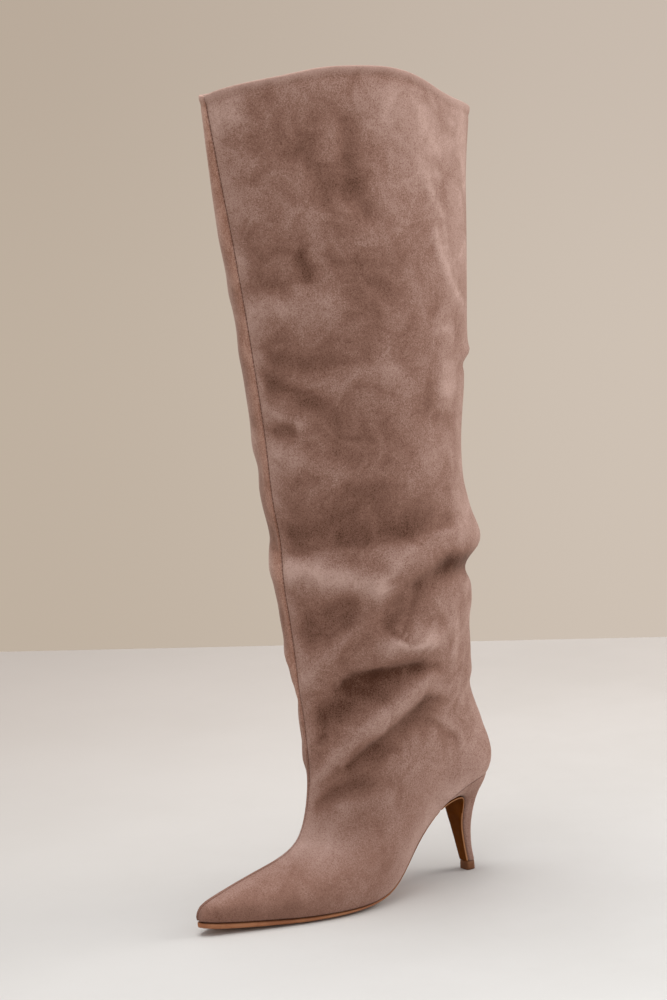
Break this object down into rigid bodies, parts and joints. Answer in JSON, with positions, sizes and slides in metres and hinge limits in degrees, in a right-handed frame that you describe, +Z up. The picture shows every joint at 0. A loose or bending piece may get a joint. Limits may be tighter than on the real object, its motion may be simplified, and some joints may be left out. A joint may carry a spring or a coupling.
{
  "type": "over-the-knee boot",
  "caption": "Left over-the-knee pull-on boot in soft taupe suede-look cloth, with a pointed toe, a slim flared covered heel, a thin tan sole and a slouched shaft.",
  "frame": {"origin": "on the floor, in the middle of the flat tread under the ball of the foot", "axes": "+Z up along the shaft, -Y towards the toe, +X towards the outer side of the left foot"},
  "size_m": [0.134, 0.2655, 0.5854],
  "materials": {
    "suede": "brushed suede-look cloth, matt",
    "sole": "smooth tan, satin",
    "lining": "beige lining cloth",
    "top_piece": "hard brown rubber"
  },
  "bodies": {
    "root": {"upper": "suede", "insole": "lining", "outsole": "sole", "heel": "suede", "heel_breast": "sole", "top_piece": "top_piece"}
  },
  "joints": []
}
